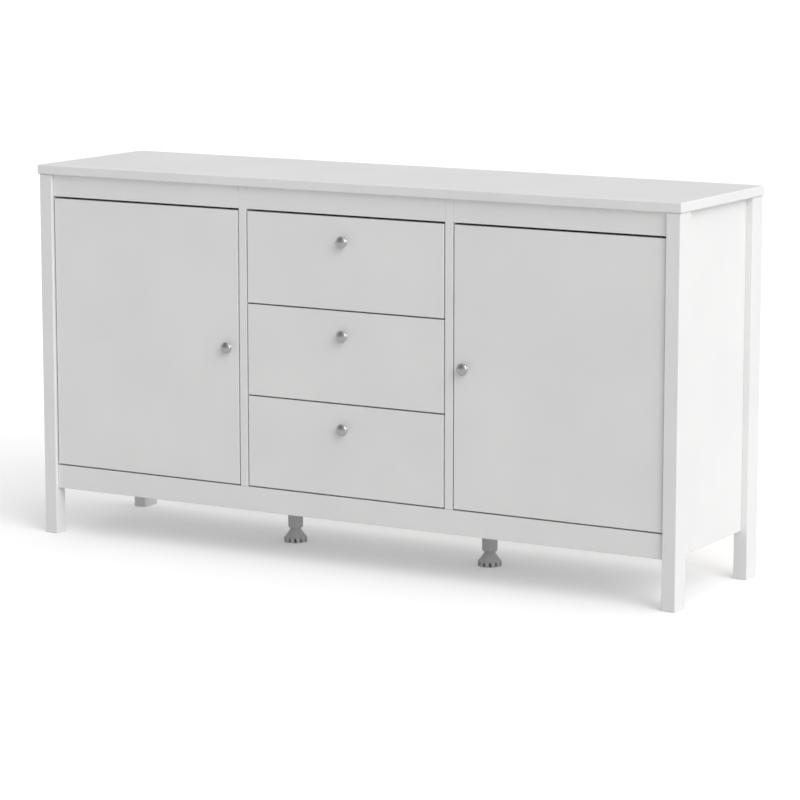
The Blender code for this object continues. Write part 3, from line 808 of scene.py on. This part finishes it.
PIN_COLLAR = 0.0012
PIN_EDGE = 0.0003
PIN_TONGUE = 0.009
PIN_SHANK_RADIUS = 0.0025
PIN_SHANK_TAPER = 0.0008
PIN_SHANK_TIP = 0.001
TONGUE_FLAT = 0.72
TONGUE_ROUND = 0.96
RUNNER_ROUND = 0.48
RUNNER_EDGE = 0.0008
RUNNER_SCREW = (0.0034, 0.0008)
RUNNER_SCREW_PLACES = (-0.44, 0.0, 0.44)


def tongue_outline(radius):
    """A half-round tongue with a flat top; (across, up)."""
    flat = radius * TONGUE_FLAT
    return [(flat, radius)] + arc((0.0, 0.0), radius * TONGUE_ROUND, 20, -200, 20) + [(-flat, radius)]


def make_pins():
    """Shelf pins: a shank in the board, a collar against it, and a tongue under the shelf."""
    for node in frame["nodes"]:
        if "_shelf_pin_" not in node:
            continue
        low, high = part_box(node)
        radius = (high.z - low.z) / 2
        sign = -1 if "left" in node else 1
        inner = "inner" in node
        away = sign if inner else -sign
        tip = high.x if away > 0 else low.x
        root = low.x if away > 0 else high.x
        face = tip - away * PIN_TONGUE
        end = -abs(root - face)
        middle = PIN_COLLAR / 2
        shape = bmesh.new()
        collar = [(0.0, TOUCH), (radius - PIN_EDGE, TOUCH), (radius, TOUCH + PIN_EDGE)]
        collar += [(radius, PIN_COLLAR - PIN_EDGE), (radius - PIN_EDGE, PIN_COLLAR), (0.0, PIN_COLLAR)]
        revolve_into(shape, collar, 32, matrix=towards((0, 0, 0), (away, 0, 0)))
        shank = [(0.0, middle), (PIN_SHANK_RADIUS, middle), (PIN_SHANK_RADIUS, end + PIN_SHANK_TIP)]
        shank += [(PIN_SHANK_RADIUS - PIN_SHANK_TAPER, end), (0.0, end)]
        revolve_into(shape, shank, 24, matrix=towards((0, 0, 0), (away, 0, 0)))
        tongue = tongue_outline(radius)
        slab_into(shape, tongue, middle, PIN_TONGUE, lambda y, z, x: (away * x, y, z))
        place = (face, (low.y + high.y) / 2, (low.z + high.z) / 2)
        piece = new_piece("moulded_" + node, finish_mesh(shape, node), PIN_PLASTIC, place)
        install(piece, "carcass", node)


def make_runners():
    """Round-ended strips on the partitions that the drawers slide on, each with three screws."""
    for side, sign in SIDES:
        for drawer in DRAWERS:
            node = side + "_" + drawer + "_runner"
            low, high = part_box(node)
            centre = (low + high) / 2
            size = high - low
            shape = bmesh.new()
            outline = rounded_outline(size.y, size.z, size.z * RUNNER_ROUND, 8)
            thick = size.x / 2
            slab_into(shape, outline, -thick, thick, lambda y, z, x: (sign * x, y, z), RUNNER_EDGE)
            piece = new_piece("moulded_" + node, finish_mesh(shape, node), WHITE_PLASTIC, centre)
            install(piece, "carcass", node)
            screws = bmesh.new()
            for share in RUNNER_SCREW_PLACES:
                where = (-sign * (thick - 0.0003), share * size.y, 0.0)
                screw_into(screws, where, (-sign, 0, 0), *RUNNER_SCREW, share)
            name = node + "_screws"
            install(new_piece(name, finish_mesh(screws, name), PLATED, centre), "carcass")


# ---------------------------------------------------------------- fixings of the boards

NAIL_SPACING = 0.115
NAIL_INSET = 0.0065
NAIL_CROWN = 0.0008
NAIL_DOME = 0.0042
NAIL_DOME_CENTRE = -0.0034
NAIL_RADIUS = 0.0020
CAP_RADIUS = 0.0085
# A cap from its middle out, as (share of its radius, level).
CAP_PROFILE = ((0.0, 0.0008), (0.62, 0.0008), (0.66, 0.0006), (0.90, 0.0006))
CAP_PROFILE += ((1.0, 0.0001), (1.0, 0.0), (0.0, 0.0))
CAP_FROM_PANEL = 0.042
CAP_FROM_PARTITION = 0.043
CAP_FROM_EDGE = 0.030


def spread_evenly(start, end, spacing):
    """Places from start to end, about a spacing apart."""
    count = max(1, round((end - start) / spacing))
    return [start + (end - start) * i / count for i in range(count + 1)]


def make_back_nails():
    """Small nails hold the back panel along its edges and on both partitions."""
    low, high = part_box("back_panel")
    left, right = low.x + NAIL_INSET, high.x - NAIL_INSET
    bottom, top = low.z + NAIL_INSET, high.z - NAIL_INSET
    spots = {(x, z) for x in spread_evenly(left, right, NAIL_SPACING) for z in (bottom, top)}
    columns = (left, right, middle_of("left_partition").x, middle_of("right_partition").x)
    spots |= {(x, z) for z in spread_evenly(bottom, top, NAIL_SPACING)[1:-1] for x in columns}
    head = [(0.0, NAIL_CROWN)] + arc((0.0, NAIL_DOME_CENTRE), NAIL_DOME, 82, 64, 3)
    head += [(NAIL_RADIUS, 0.0), (0.0, 0.0)]
    shape = bmesh.new()
    for x, z in sorted(spots):
        revolve_into(shape, head, 14, matrix=towards((x, high.y, z), (0, 1, 0)))
    piece = new_piece("back_panel_nails", finish_mesh(shape, "back_panel_nails"), PLATED)
    install(piece, "carcass")


def make_cam_caps():
    """Push-in caps over the cam fittings that tie the bottom panel to the uprights."""
    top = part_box("bottom_panel")[1].z
    front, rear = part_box("left_shelf")[0].y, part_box("left_shelf")[1].y
    profile = [(CAP_RADIUS * share, level) for share, level in CAP_PROFILE]
    shape = bmesh.new()
    for side, sign in SIDES:
        outer = abs(middle_of(side + "_side_panel").x) - CAP_FROM_PANEL
        inner = abs(middle_of(side + "_partition").x) + CAP_FROM_PARTITION
        for x in (outer, inner):
            for y in (front + CAP_FROM_EDGE, rear - CAP_FROM_EDGE):
                revolve_into(shape, profile, 40, matrix=Matrix.Translation((sign * x, y, top)))
    piece = new_piece("cam_caps", finish_mesh(shape, "cam_caps"), WHITE_PLASTIC)
    install(piece, "carcass")


# ---------------------------------------------------------------- studio and camera

FLOOR_REACH = 30.0
FLOOR_DROP = 0.0002


def make_floor():
    """A large plane just under the legs."""
    shape = bmesh.new()
    bmesh.ops.create_grid(shape, x_segments=1, y_segments=1, size=FLOOR_REACH)
    mesh = bpy.data.meshes.new("studio_floor")
    shape.to_mesh(mesh)
    shape.free()
    floor = new_piece("studio_floor", mesh, floor_finish(), (0.0, 0.0, FLOOR - FLOOR_DROP))


# A wide soft sky: an even part, and lobes as direction, sharpness and strength.
SKY_EVEN = 0.12
SKY_LOBES = {
    "right": ((0.90, 0.10, 0.42), 4.0, 1.06),
    "overhead": ((0.10, 0.20, 0.97), 4.0, 0.87),
    "back": ((0.0, 0.96, 0.28), 3.0, 0.415),
    "left": ((-0.97, 0.10, 0.25), 5.0, 0.7),
    "key": ((0.74, -0.44, 0.50), 16.0, 4.5),
    "front": ((0.30, -0.93, 0.15), 3.0, 0.3),
}


def make_sky():
    """Lights the scene from a sky of soft lobes, and shows plain white behind the floor."""
    world = bpy.data.worlds.new("studio")
    world.use_nodes = True
    tree = world.node_tree
    direction = tree.nodes.new("ShaderNodeTexCoord").outputs["Generated"]
    total = SKY_EVEN
    for axis, sharpness, strength in SKY_LOBES.values():
        toward = tree.nodes.new("ShaderNodeVectorMath")
        toward.operation = "DOT_PRODUCT"
        tree.links.new(direction, toward.inputs[0])
        toward.inputs[1].default_value = Vector(axis).normalized()
        value = toward.outputs["Value"]
        steps = (("MAXIMUM", 0.0), ("POWER", sharpness), ("MULTIPLY", strength), ("ADD", total))
        for operation, operand in steps:
            step = tree.nodes.new("ShaderNodeMath")
            step.operation = operation
            tree.links.new(value, step.inputs[0])
            if isinstance(operand, float):
                step.inputs[1].default_value = operand
            else:
                tree.links.new(operand, step.inputs[1])
            value = step.outputs[0]
        total = value
    sky = tree.nodes["Background"]
    tree.links.new(total, sky.inputs["Strength"])
    white = tree.nodes.new("ShaderNodeBackground")
    for background in (sky, white):
        background.inputs["Color"].default_value = (1.0, 1.0, 1.0, 1.0)
    seen = tree.nodes.new("ShaderNodeMixShader")
    tree.links.new(tree.nodes.new("ShaderNodeLightPath").outputs["Is Camera Ray"], seen.inputs["Fac"])
    tree.links.new(sky.outputs[0], seen.inputs[1])
    tree.links.new(white.outputs[0], seen.inputs[2])
    tree.links.new(seen.outputs[0], tree.nodes["World Output"].inputs["Surface"])
    bpy.context.scene.world = world
    bpy.context.scene.view_settings.view_transform = "Standard"


CAMERA_PLACE = (3.431, -5.8045, 1.464)
CAMERA_TURN = 30.39
CAMERA_PITCH = 9.572
CAMERA_LENS = 147.8
SENSOR_WIDTH = 36.0


def make_camera():
    """The photograph's view: from the front right, a little above the top board."""
    data = bpy.data.cameras.new("camera")
    data.sensor_width = SENSOR_WIDTH
    data.lens = CAMERA_LENS
    camera = bpy.data.objects.new("camera", data)
    camera.location = CAMERA_PLACE
    camera.rotation_euler = (math.radians(90 - CAMERA_PITCH), 0.0, math.radians(CAMERA_TURN))
    bpy.context.scene.collection.objects.link(camera)
    bpy.context.scene.camera = camera


# ---------------------------------------------------------------- making

make_camera()
make_floor()
make_sky()
dress_frame()
make_knobs()
make_screw_feet()
make_sleeves()
make_cups()
make_arms()
make_pins()
make_runners()
make_back_nails()
make_cam_caps()
